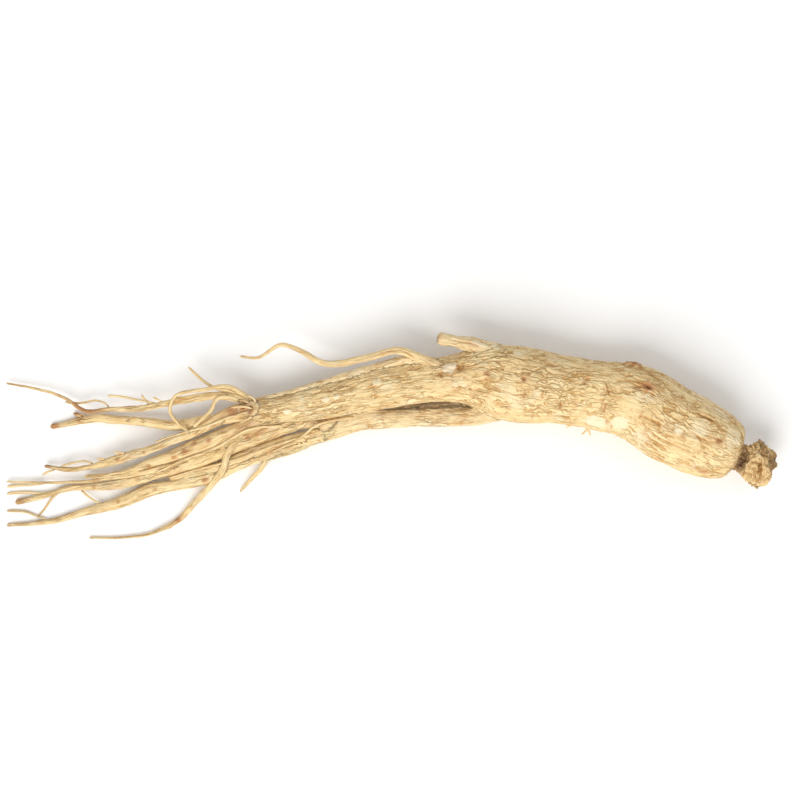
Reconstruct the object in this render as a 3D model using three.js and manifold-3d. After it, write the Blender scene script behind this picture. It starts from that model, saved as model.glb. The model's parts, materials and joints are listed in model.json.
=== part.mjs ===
// A dried ginseng root, lying on its belly: crown, trunk, legs and tail rootlets, grown as one solid.
// Millimetres, +Z up. +X runs to the crown, +Y to the side of the broken branch, and z = 0 is the
// surface that the root lies on. The origin is under the middle of its length and spread.
import * as THREE from 'three';
import { mergeVertices } from 'three/addons/utils/BufferGeometryUtils.js';
import Module from 'manifold-3d';

// Driving dimensions
const TRUNK_RADIUS = 11; // thickest part of the trunk
const LEG_RADIUS = 3; // the slim lower leg
const TAIL_RADIUS = 2; // a tail rootlet where it leaves the bundle
const CROWN_RADIUS = 6; // the knob of old stem scars
const FLATTENING = 0.92; // height over width of every limb: it dried lying down
const CUP_DEPTH = 1.5; // hollow of the last stem's scar
const STEM_SCAR_RIM = 0.7; // radius of that hollow over the crown's
const MIDDLE = new THREE.Vector2(0.1, 0.8); // middle of the length and spread in the routes below
const TRIM_BLOCK = 400; // side of the block that takes off what would lie under z = 0

// How finely a limb is drawn
const TRUNK_SIDES = 20;
const LEG_SIDES = 12;
const TAIL_SIDES = 7;
const HAIR_SIDES = 5;
const RINGS_A_STEP = 2; // rings from one route point to the next

const wasm = await Module();
wasm.setup();

/** The closed solid of a geometry, with its shared corners merged and its empty triangles left out. */
function solidOf(geometry) {
  geometry.deleteAttribute('normal');
  geometry.deleteAttribute('uv');
  const merged = mergeVertices(geometry, 1e-4);
  const index = merged.index.array;
  const triVerts = [];
  for (let i = 0; i < index.length; i += 3) {
    const [a, b, c] = index.subarray(i, i + 3);
    if (a !== b && b !== c && c !== a) triVerts.push(a, b, c);
  }
  return new wasm.Manifold(new wasm.Mesh({
    numProp: 3,
    vertProperties: Float32Array.from(merged.attributes.position.array),
    triVerts: Uint32Array.from(triVerts),
  }));
}

/** A round end as [distance from the tip over the tip's radius, share of the radius] pairs. */
const ROUND_END = [[0, 0], [0.13, 0.5], [0.5, 0.87]];

/**
 * A limb's stations from start to end, each [place along the route from 0 to 1, share of the girth].
 * Both ends are rounded, or the far one is hollowed into a cup.
 */
function stationsOf(route, girth, cupDepth) {
  const steps = route.length - 1;
  const startStep = route[0].distanceTo(route[1]) * steps;
  const endStep = route[steps].distanceTo(route[steps - 1]) * steps;
  const start = ROUND_END.map(([d, share]) => [(d * girth[0]) / startStep, share]);
  const end = ROUND_END.map(([d, share]) => [1 - (d * girth[steps]) / endStep, share]).reverse();
  const cup = [[1, 1], [1, STEM_SCAR_RIM], [1 - cupDepth / endStep, STEM_SCAR_RIM / 2],
    [1 - cupDepth / endStep, 0]];
  const first = start.at(-1)[0];
  const last = cupDepth ? 1 : end[0][0];
  const rings = steps * RINGS_A_STEP;
  const middle = [];
  for (let i = 1; i < rings; i++) {
    const t = i / rings;
    if (t > first && t < last) middle.push([t, 1]);
  }
  return [...start, ...middle, ...(cupDepth ? cup : end)];
}

/**
 * A limb: a turned rod whose rings are carried along a smooth route.
 * points is a list of [x, y, z]; girths holds the radius at each point as a share of radius.
 */
function limb(radius, sides, points, girths, cupDepth = 0) {
  const route = points.map((p) => new THREE.Vector3(...p));
  const curve = new THREE.CatmullRomCurve3(route);
  const girth = girths.map((share) => share * radius);
  const girthCurve = new THREE.SplineCurve(girth.map((r, i) => new THREE.Vector2(i, r)));
  const stations = stationsOf(route, girth, cupDepth);
  const profile = stations.map(([t, share], i) => new THREE.Vector2(share * girthCurve.getPoint(t).y, i));
  const geometry = new THREE.LatheGeometry(profile, sides);

  const up = new THREE.Vector3(0, 0, 1);
  const position = geometry.attributes.position;
  for (let i = 0; i < position.count; i++) {
    const t = stations[Math.round(position.getY(i))][0];
    const along = curve.getTangent(t);
    const across = new THREE.Vector3().crossVectors(up, along).normalize();
    const under = new THREE.Vector3().crossVectors(across, along);
    const place = curve.getPoint(t)
      .addScaledVector(across, position.getX(i))
      .addScaledVector(under, position.getZ(i) * FLATTENING);
    position.setXYZ(i, place.x, place.y, place.z);
  }
  return solidOf(geometry);
}

/** The trunk from the crown's neck, over the shoulder, to where it frays into tails. */
function trunk() {
  return limb(TRUNK_RADIUS, TRUNK_SIDES, [
    [99, -5, 9], [96.8, -4, 9], [90.5, -1, 9.2], [79, 4.5, 9.7], [69, 10.5, 9.5], [59, 12.5, 8.6],
    [48, 14, 8.6], [36.5, 15.5, 9.6], [28.5, 17, 9.6], [21.5, 17.5, 9.6], [14.5, 17, 9.6],
    [6, 16, 9.3], [-2.5, 14.5, 9], [-11, 12.5, 8.6], [-19.5, 10.5, 8.2], [-27.5, 9.2, 7.8],
    [-35.5, 8.3, 7.4], [-40.5, 8.2, 7.2],
  ], [
    0.33, 0.68, 0.93, 1, 0.97, 0.88, 0.88, 0.99, 0.88, 0.68, 0.58, 0.55, 0.53, 0.48, 0.45, 0.4, 0.32, 0.2,
  ]);
}

/** The crown: a knob of stacked stem scars, with the last stem's scar as a cup at its end. */
function crown() {
  return limb(CROWN_RADIUS, LEG_SIDES, [
    [96, -3.7, 9], [99, -5.3, 9.1], [102.3, -6.4, 9.4], [105.2, -6.5, 9.7], [108.4, -5.6, 9.9],
  ], [0.5, 0.58, 0.95, 1, 0.72], CUP_DEPTH);
}

/** The slim leg that leaves the trunk at its fork and runs beside it, and its snapped-off brown twin. */
function legs() {
  return [
    limb(LEG_RADIUS, LEG_SIDES, [
      [39.5, 12.5, 7.6], [32.5, 9, 6.8], [26, 7, 6], [17, 6.5, 5.4], [8.5, 6.5, 5], [0.5, 6, 4.8],
      [-8, 5.5, 4.6], [-14.5, 3.5, 4.3], [-21, 0.5, 4], [-27.5, -2.5, 3.6], [-35.5, -5.5, 3],
    ], [1, 0.97, 0.9, 0.93, 0.9, 0.97, 1, 1, 0.67, 0.53, 0.33]),
    limb(LEG_RADIUS, TAIL_SIDES, [[-7, 5.5, 5.6], [-13.5, 4.8, 6], [-20, 3.5, 6.2]], [0.6, 0.75, 0.7]),
    limb(LEG_RADIUS, TAIL_SIDES, [
      [19, 19.5, 11.6], [11, 21.8, 11.8], [4, 22, 11.4], [-2.5, 20.5, 10.8], [-11, 18, 10.2],
      [-22, 14.5, 9.4], [-32, 12, 8.6], [-38.5, 10.5, 8],
    ], [0.5, 0.52, 0.5, 0.48, 0.45, 0.42, 0.38, 0.33]),
    limb(LEG_RADIUS, TAIL_SIDES, [
      [31, 23.2, 11.5], [24, 26.5, 12.3], [18.5, 27.5, 12.6], [13, 28.5, 12.8],
    ], [0.85, 0.68, 0.6, 0.66]),
  ];
}

/** The long tail rootlets that carry on from the trunk and the legs to the thin end of the root. */
function tails() {
  const routes = [
    [[[-32, 8.5, 7.4], [-43, 8, 6.8], [-48.5, 5.5, 6.4], [-54.5, 2.5, 6], [-61.5, -0.5, 5.5],
      [-68.5, -3, 5], [-76.5, -5.5, 4.3], [-84, -7.5, 3.5], [-91, -8.5, 2.6], [-98, -7.5, 1.8]],
    [0.9, 0.95, 0.85, 0.75, 0.6, 0.6, 0.75, 0.43, 0.35, 0.25]],
    [[[-26, 7.5, 7], [-37.5, 4.5, 6.4], [-44.5, 2, 6], [-51.5, -1, 5.6], [-57.5, -3.3, 5.2],
      [-62.5, -5, 4.8], [-69.5, -7.5, 4.2], [-76, -9.6, 3.4], [-86.5, -10.6, 2.4]],
    [0.9, 1.05, 1.15, 1.15, 1, 0.8, 0.6, 0.45, 0.3]],
    [[[-27, 5.4, 6.6], [-33.5, 3.6, 6.4], [-40.5, 0.8, 6], [-47.5, -1.5, 5.6], [-54.5, -4, 5.1],
      [-62, -7.6, 4.5], [-67, -8.7, 4], [-73, -10, 3.4], [-79, -11, 2.9], [-85, -11.8, 2.4],
      [-93.5, -12.3, 1.8], [-109, -12, 1]],
    [0.55, 0.6, 0.6, 0.58, 0.55, 0.5, 0.45, 0.35, 0.28, 0.22, 0.2, 0.15]],
    [[[-22, 5.5, 6], [-31.5, 2.5, 5.4], [-41.5, -1, 4.8], [-51.5, -5, 4.2], [-60, -8, 3.6],
      [-67, -10, 3], [-73.5, -12, 2.5], [-78.5, -13, 2], [-85.5, -13.5, 1.5], [-92, -14, 1.1],
      [-96.5, -15.5, 0.9], [-106.5, -18, 0.7]],
    [0.8, 0.9, 1, 1.05, 0.95, 0.8, 0.75, 0.72, 0.48, 0.45, 0.38, 0.4]],
    [[[-17, 1.8, 4.6], [-27.5, -1.5, 4], [-36, -4, 3.6], [-44.5, -7.5, 3.2], [-52.5, -11, 2.8],
      [-61.5, -13, 2.4], [-68, -14.5, 2], [-76.5, -18, 1.6], [-84, -20, 1.2], [-91, -22, 0.9],
      [-97, -23.5, 0.7], [-109, -24.5, 0.5]],
    [0.85, 0.9, 1, 1.1, 1, 0.8, 0.9, 0.85, 0.62, 0.45, 0.4, 0.22]],
    [[[-14, 3, 5], [-25, 0.5, 4.8], [-33.5, -2, 4.4], [-41.5, -5, 4], [-48.5, -8, 3.6],
      [-55.5, -9.5, 3.2], [-62.5, -11, 3]],
    [0.7, 0.8, 0.85, 0.85, 0.8, 0.7, 0.5]],
  ];
  return routes.map(([points, girths]) => limb(TAIL_RADIUS, TAIL_SIDES, points, girths));
}

/** The rootlets that leave the bundle on either side, flatter and more crooked than the tails. */
function sideRootlets() {
  const routes = [
    [[[-37, 2, 5.4], [-43, -1, 5.8], [-45.5, -4, 5.8], [-47, -8.5, 5], [-50.5, -13, 3.6],
      [-56, -19, 2], [-59.5, -22.5, 1.4], [-67, -26.5, 0.9], [-75, -28, 0.6], [-85.5, -28, 0.4]],
    [0.5, 0.6, 0.55, 0.55, 0.5, 0.48, 0.42, 0.25, 0.18, 0.15]],
    [[[-34, 8, 7.4], [-46, 6, 6.4], [-53, 5, 5.4], [-61, 4, 4.2], [-69.5, 5, 3], [-76.5, 5.5, 2],
      [-84, 6, 1.2], [-92, 4.5, 0.8], [-96.5, 3.5, 0.6]],
    [0.8, 0.9, 0.9, 0.75, 0.65, 0.6, 0.65, 0.4, 0.35]],
    [[[-85, 6, 1.1], [-87.5, 6.6, 1], [-90, 7.5, 0.8]], [0.3, 0.3, 0.25]],
    [[[-35, 9, 8], [-44, 12, 8], [-48.5, 12.5, 7.8], [-59, 11, 7], [-68, 9, 6], [-78.5, 8.5, 4.8],
      [-86, 8, 3.8], [-91.5, 11.5, 3], [-98.5, 14, 2.2], [-109, 16, 1.6]],
    [0.55, 0.6, 0.6, 0.55, 0.45, 0.35, 0.3, 0.25, 0.2, 0.15]],
  ];
  return routes.map(([points, girths]) => limb(TAIL_RADIUS, TAIL_SIDES, points, girths));
}

/** The thread-like rootlets: the long wavy one over the leg, and the small curls on the bundle. */
function threads() {
  const routes = [
    [[[18, 19, 12.5], [8.5, 23, 13.2], [3, 25, 13], [-6.5, 23, 12.4], [-13.5, 21.5, 12], [-18, 21.5, 11.6],
      [-26, 25.5, 11], [-30.5, 26.5, 10.4], [-36.5, 23, 9.2], [-42, 23.5, 8]],
    [0.6, 0.65, 0.55, 0.5, 0.5, 0.45, 0.35, 0.3, 0.22, 0.18]],
    [[[-36, 9, 7.8], [-41.5, 13.5, 9], [-45.5, 15, 9.8], [-50, 14.5, 10], [-55.5, 13.5, 9.6],
      [-60, 12, 9.2], [-61.5, 8, 8.6], [-58, 3.5, 7.6], [-55.5, 2, 6.8]],
    [0.35, 0.32, 0.3, 0.3, 0.28, 0.25, 0.25, 0.22, 0.2]],
    [[[-36, 9, 7.6], [-44, 13.5, 8.2], [-48, 14.5, 8.2], [-52, 16.5, 8], [-56.5, 20.5, 7.6]],
      [0.3, 0.28, 0.25, 0.22, 0.18]],
    [[[-37, 8.5, 7.8], [-44.5, 12, 8.8], [-48.5, 11.5, 9], [-50, 8.5, 8.8], [-55, 3.5, 7.4]],
      [0.35, 0.32, 0.3, 0.28, 0.22]],
    [[[-33, -2, 4], [-36.5, -8.5, 2.6], [-38.5, -10.5, 2], [-42.5, -15, 1]], [0.5, 0.38, 0.3, 0.2]],
  ];
  return routes.map(([points, girths]) => limb(TAIL_RADIUS, HAIR_SIDES, points, girths));
}

/** Everything under the surface that the root lies on. */
function underground() {
  const block = new THREE.BoxGeometry(TRIM_BLOCK, TRIM_BLOCK, TRIM_BLOCK);
  block.translate(0, 0, -TRIM_BLOCK / 2);
  return solidOf(block);
}

/** The whole root: every limb joined into one solid, trimmed flat where it lies. */
function rootGeometry() {
  const limbs = [trunk(), crown(), ...legs(), ...tails(), ...sideRootlets(), ...threads()];
  const whole = limbs.reduce((sum, piece) => sum.add(piece)).subtract(underground());
  const { vertProperties, triVerts } = whole.getMesh();
  const geometry = new THREE.BufferGeometry();
  geometry.setAttribute('position', new THREE.BufferAttribute(vertProperties, 3));
  geometry.setIndex(new THREE.BufferAttribute(triVerts, 1));
  geometry.translate(-MIDDLE.x, -MIDDLE.y, 0);
  geometry.computeVertexNormals();
  return geometry;
}

const root = new THREE.Mesh(
  rootGeometry(),
  new THREE.MeshStandardMaterial({ color: '#ddc28d', roughness: 0.75, metalness: 0 }),
);
root.name = 'ginseng_root';

const group = new THREE.Group();
group.add(root);

export default group;
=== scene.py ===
"""A dried ginseng root lying on its belly: crown, trunk, legs, tail rootlets and threads in one skin.

Lengths here are millimetres along the routes that the frame's solid was made from, and they become
metres in the frame's own place when the skin is handed over. The stout limbs are melted into one body,
the tails and threads are turned on their own centre lines and joined to it, and every fold, scar and
stain is placed by how far along and how far round a limb it sits.
"""
from __future__ import annotations

import json
import logging
import math
from collections.abc import Callable
from dataclasses import dataclass
from enum import Enum

import bmesh
import bpy
import numpy as np
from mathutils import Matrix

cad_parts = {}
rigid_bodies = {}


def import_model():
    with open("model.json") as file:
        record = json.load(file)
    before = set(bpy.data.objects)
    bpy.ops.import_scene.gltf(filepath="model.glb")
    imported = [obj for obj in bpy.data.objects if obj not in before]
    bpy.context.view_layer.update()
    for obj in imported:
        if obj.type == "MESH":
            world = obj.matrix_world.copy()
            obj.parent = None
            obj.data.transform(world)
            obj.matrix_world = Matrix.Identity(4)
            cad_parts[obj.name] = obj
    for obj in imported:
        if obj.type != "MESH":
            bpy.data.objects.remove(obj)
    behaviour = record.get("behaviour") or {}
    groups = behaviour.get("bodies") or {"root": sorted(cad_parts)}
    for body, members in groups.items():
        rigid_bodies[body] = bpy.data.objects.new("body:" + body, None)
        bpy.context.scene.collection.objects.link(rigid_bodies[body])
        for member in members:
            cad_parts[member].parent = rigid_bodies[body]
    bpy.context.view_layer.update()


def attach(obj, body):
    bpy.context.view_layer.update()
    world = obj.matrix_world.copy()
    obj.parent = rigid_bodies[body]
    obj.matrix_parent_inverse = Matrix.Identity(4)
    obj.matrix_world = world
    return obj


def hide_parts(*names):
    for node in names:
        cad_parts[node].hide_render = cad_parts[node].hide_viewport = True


log = logging.getLogger("ginseng")

METRES = 0.001  # one millimetre of this script
MIDDLE = np.array([0.1, 0.8, 0.0])  # middle of the routes, which the frame puts over its origin
FLATTENING = 0.92  # height over width of every limb


class Growth(Enum):
    """The kinds of limb, which differ in how their skin dries."""

    TRUNK = "trunk"
    CROWN = "crown"
    LEG = "leg"
    TAIL = "tail"
    THREAD = "thread"


@dataclass(frozen=True)
class Wrinkling:
    """How one kind of limb wrinkles as it dries."""

    spacing: float  # from one crease to the next, round the limb
    run: float  # how far a crease runs along the limb
    depth: float  # of a main crease
    sway: float  # how far a crease strays sideways
    lumps: float  # height of the slow swellings
    lump_size: float
    folds: float  # depth of the few long furrows
    nodules: float = 0.0  # height of the small swellings on thin limbs
    fineness: float = 1.0  # how much closer the fine lines lie than on the trunk
    shorter: float = 1.0  # how much shorter they run
    calm: float = 0.0  # how faint they are


WRINKLING = {
    Growth.TRUNK: Wrinkling(1.9, 8.0, 0.26, 0.45, 0.45, 9.0, 0.45),
    Growth.CROWN: Wrinkling(3.2, 1.6, 0.6, 0.9, 1.1, 4.0, 0.4, 0.0, 0.5, 4.5, 0.2),
    Growth.LEG: Wrinkling(1.2, 8.0, 0.2, 0.3, 0.22, 5.0, 0.25, 0.12, 1.15, 0.8, 0.15),
    Growth.TAIL: Wrinkling(0.85, 9.0, 0.18, 0.2, 0.16, 3.2, 0.2, 0.32, 1.3, 0.6, 0.2),
    Growth.THREAD: Wrinkling(0.6, 6.0, 0.04, 0.1, 0.07, 2.5, 0.0, 0.2, 1.5, 0.5, 0.4),
}


class GradientNoise:
    """Seeded gradient noise in space, worked out for whole arrays at once."""

    CELLS = 256
    SPREAD = 1.7  # brings the swings to about -1 to 1

    def __init__(self, seed: int) -> None:
        """Draws the table of slopes.

        Args:
            seed: what the table is drawn from.
        """
        draw = np.random.default_rng(seed)
        order = draw.permutation(self.CELLS)
        self.order = np.concatenate([order, order])
        slopes = draw.normal(size=(self.CELLS, 3))
        self.slopes = slopes / np.linalg.norm(slopes, axis=1, keepdims=True)

    def at(self, x: np.ndarray, y: np.ndarray, z: np.ndarray) -> np.ndarray:
        """Noise of about -1 to 1 with one swing to a unit.

        Each corner of a unit cell has a slope; a point takes the eight slopes' heights, blended by the
        smooth step 6t^5 - 15t^4 + 10t^3 of its place in the cell.

        Args:
            x, y, z: the points' coordinates in cells.

        Returns:
            One value a point.
        """
        points = np.stack(np.broadcast_arrays(x, y, z), axis=-1)
        cell = np.floor(points).astype(np.int64)
        inside = points - cell
        step = inside**3 * (inside * (inside * 6 - 15) + 10)
        mask = self.CELLS - 1
        total = np.zeros(points.shape[:-1])
        for corner in np.ndindex(2, 2, 2):
            place = (cell + corner) & mask
            turn = self.order[self.order[self.order[place[..., 0]] + place[..., 1]] + place[..., 2]]
            height = np.einsum("...i,...i->...", self.slopes[turn], inside - corner)
            share = np.prod(np.where(corner, step, 1 - step), axis=-1)
            total += height * share
        return total * self.SPREAD


NOISE = GradientNoise(7)


def catmull(values: np.ndarray, at: np.ndarray, even: bool) -> np.ndarray:
    """A smooth curve through all the values.

    Between two knots it is the cubic whose slopes come from the knots on either side, which are spaced
    evenly or by the square root of their distance; past each end the first step is repeated.

    Args:
        values: knots, one a row.
        at: places from 0 to 1 along the knots.
        even: whether the knots are spaced evenly.

    Returns:
        One row a place.
    """
    values = np.atleast_2d(values.T).T.astype(float)
    if even:
        knots = np.vstack([values[:1], values, values[-1:]])
    else:
        knots = np.vstack([2 * values[:1] - values[1:2], values, 2 * values[-1:] - values[-2:-1]])
    count = len(values)
    place = np.clip(at, 0, 1) * (count - 1)
    first = np.minimum(place.astype(int), count - 2)
    t = (place - first)[:, None]
    a, b, c, d = (knots[first + k] for k in range(4))
    if even:
        leave, arrive = (c - a) / 2, (d - b) / 2
    else:
        gaps = [np.sqrt(np.linalg.norm(q - p, axis=1, keepdims=True)) for p, q in ((a, b), (b, c), (c, d))]
        leave = ((b - a) / gaps[0] - (c - a) / (gaps[0] + gaps[1]) + (c - b) / gaps[1]) * gaps[1]
        arrive = ((c - b) / gaps[1] - (d - b) / (gaps[1] + gaps[2]) + (d - c) / gaps[2]) * gaps[1]
    return b + leave * t + (3 * (c - b) - 2 * leave - arrive) * t**2 + (2 * (b - c) + leave + arrive) * t**3


@dataclass
class Limb:
    """A round limb carried along a route, with rounded ends.

    route holds [x, y, z] points; girths the radius at each, as a share of radius; fillet is how wide the
    join to the limbs before it is melted; wander is how far it strays from its route.
    """

    name: str
    growth: Growth
    radius: float
    route: tuple
    girths: tuple
    fillet: float = 0.5
    wander: float = 0.0

    STEP = 0.35  # from one sample of the centre line to the next

    def __post_init__(self) -> None:
        """Samples the centre line at even steps, with its frame, length so far and girth."""
        points = np.array(self.route, float)
        rough = np.linspace(0, 1, 40 * len(points))
        line = catmull(points, rough, even=False)
        self.seed = float(sum(map(ord, self.name)) % 97) + len(self.name) / 7
        walked = np.concatenate([[0], np.cumsum(np.linalg.norm(np.diff(line, axis=0), axis=1))])
        self.length = walked[-1]
        count = max(8, int(self.length / self.STEP) + 1)
        self.arc = np.linspace(0, self.length, count)
        place = np.stack([np.interp(self.arc, walked, line[:, i]) for i in range(3)], axis=1)
        girth = catmull(np.array(self.girths, float), rough, even=True)[:, 0] * self.radius
        self.girth = np.interp(self.arc, walked, girth)
        ease = np.minimum(1, np.minimum(self.arc, self.length - self.arc) / 6)
        for i in range(3):
            stray = NOISE.at(self.arc / 7.5, self.seed + 3.1 * i, 0.5) + 0.4 * NOISE.at(
                self.arc / 2.6, self.seed + 3.1 * i, 5.5)
            place[:, i] += self.wander * ease * stray * (0.5 if i == 2 else 1)
        self.place = place
        along = np.gradient(place, self.arc, axis=0)
        self.along = along / np.linalg.norm(along, axis=1, keepdims=True)
        across = np.cross([0.0, 0.0, 1.0], self.along)
        self.across = across / np.linalg.norm(across, axis=1, keepdims=True)
        self.above = np.cross(self.along, self.across)
        for end in (self.arc, self.length - self.arc):
            tip = self.girth[0] if end is self.arc else self.girth[-1]
            bend = np.clip(end / max(tip, 1e-6), 0, 1)
            self.girth = self.girth * np.sqrt(np.maximum(1 - (1 - bend) ** 2, 0))

    def reach(self) -> tuple:
        """The lowest and highest corner that the limb's skin gets to, with room for its relief."""
        room = self.girth.max() + 2.5
        return self.place.min(0) - room, self.place.max(0) + room

    def feet(self, points: np.ndarray) -> tuple:
        """Where each point stands on the limb.

        The nearest sample of the centre line is found by |p|^2 - 2 p.c + |c|^2 and then slid along the
        limb; what is left is how far the point is out and which way.

        Args:
            points: places in space, one a row.

        Returns:
            How far outside the skin each point is, its turn from the top, its length along, the girth.
        """
        nearest = np.empty(len(points), int)
        square = (self.place**2).sum(1)
        for start in range(0, len(points), 20000):
            part = points[start:start + 20000]
            nearest[start:start + 20000] = np.argmin(square - 2 * part @ self.place.T, axis=1)
        offset = points - self.place[nearest]
        slip = np.einsum("ij,ij->i", offset, self.along[nearest])
        inner = (nearest > 0) & (nearest < len(self.arc) - 1)
        slide = np.where(inner, np.clip(slip, -self.STEP, self.STEP), 0)
        offset = offset - slide[:, None] * self.along[nearest]
        arc = self.arc[nearest] + slide
        girth = np.interp(arc, self.arc, self.girth)
        side = np.einsum("ij,ij->i", offset, self.across[nearest])
        rise = np.einsum("ij,ij->i", offset, self.above[nearest]) / FLATTENING
        past = np.where(inner, 0, np.abs(slip))
        out = np.sqrt(side**2 + rise**2 + past**2) - girth
        return out, np.arctan2(side, rise), arc, girth

    def rings(self, sides: int, step: float) -> tuple:
        """The limb's skin on an even grid, before it wrinkles.

        Args:
            sides: points round the limb.
            step: length from one ring to the next.

        Returns:
            Arcs, turns and girths of the grid, a row for each ring.
        """
        count = max(6, int(self.length / step))
        even = np.linspace(0, 1, count)
        tip = 0.012 * min(1.0, 60 / count)
        arcs = self.length * np.clip(even, tip, 1 - tip)
        arcs = np.concatenate([[self.length * tip * 0.15], arcs, [self.length * (1 - tip * 0.15)]])
        turns = np.arange(sides) * (2 * math.pi / sides)
        girths = np.interp(arcs, self.arc, self.girth)
        return arcs, turns, girths

    def skin_at(self, arcs: np.ndarray, turns: np.ndarray, out: np.ndarray) -> np.ndarray:
        """Places on the limb from their length along, turn from the top and distance out.

        Args:
            arcs: lengths along the limb.
            turns: angles from the top.
            out: distances from the centre line.

        Returns:
            One place a point.
        """
        def track(values: np.ndarray) -> np.ndarray:
            """The sampled vectors at the arcs."""
            return np.stack([np.interp(arcs, self.arc, values[:, i]) for i in range(3)], axis=-1)

        side = (np.sin(turns) * out)[..., None] * track(self.across)
        rise = (np.cos(turns) * out * FLATTENING)[..., None] * track(self.above)
        return track(self.place) + side + rise


@dataclass
class Bark:
    """What the skin does at a set of points: one value a point for each field."""

    relief: np.ndarray  # millimetres outwards
    crease: np.ndarray  # 1 at the bottom of a wrinkle
    pale: np.ndarray  # peeled, almost white
    stain: np.ndarray  # reddish brown
    dark: np.ndarray  # deep brown of knots, specks, furrows and the crown's folds, and painted shade in clefts and the crown's cup
    olive: np.ndarray  # greyer and greener
    calm: np.ndarray  # 1 where the fine lines fade away

    @staticmethod
    def plain(count: int) -> "Bark":
        """Skin with nothing on it."""
        return Bark(*(np.zeros(count) for _ in range(7)))


def smooth_step(low: float, high: float, value: np.ndarray) -> np.ndarray:
    """Rises from 0 at low to 1 at high as 3t^2 - 2t^3."""
    t = np.clip((value - low) / (high - low), 0, 1)
    return t * t * (3 - 2 * t)


class MarkKind(Enum):
    """The scars and patches on the bark, and the painted shade in its clefts."""

    LENTICEL = "lenticel"  # short lips across the limb
    KNOT = "knot"  # where a rootlet broke off
    PATCH = "patch"  # peeled and smooth
    BLISTER = "blister"  # pale raised spot
    FURROW = "furrow"  # a deep crease of its own
    FLUSH = "flush"  # a stain with no relief
    CLEFT = "cleft"  # a dark brown hollow: brown stain round it, painted shade at its bottom
    SPECK = "speck"  # a small sharp dark spot
    OLIVE = "olive"  # greyer and greener skin


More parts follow.
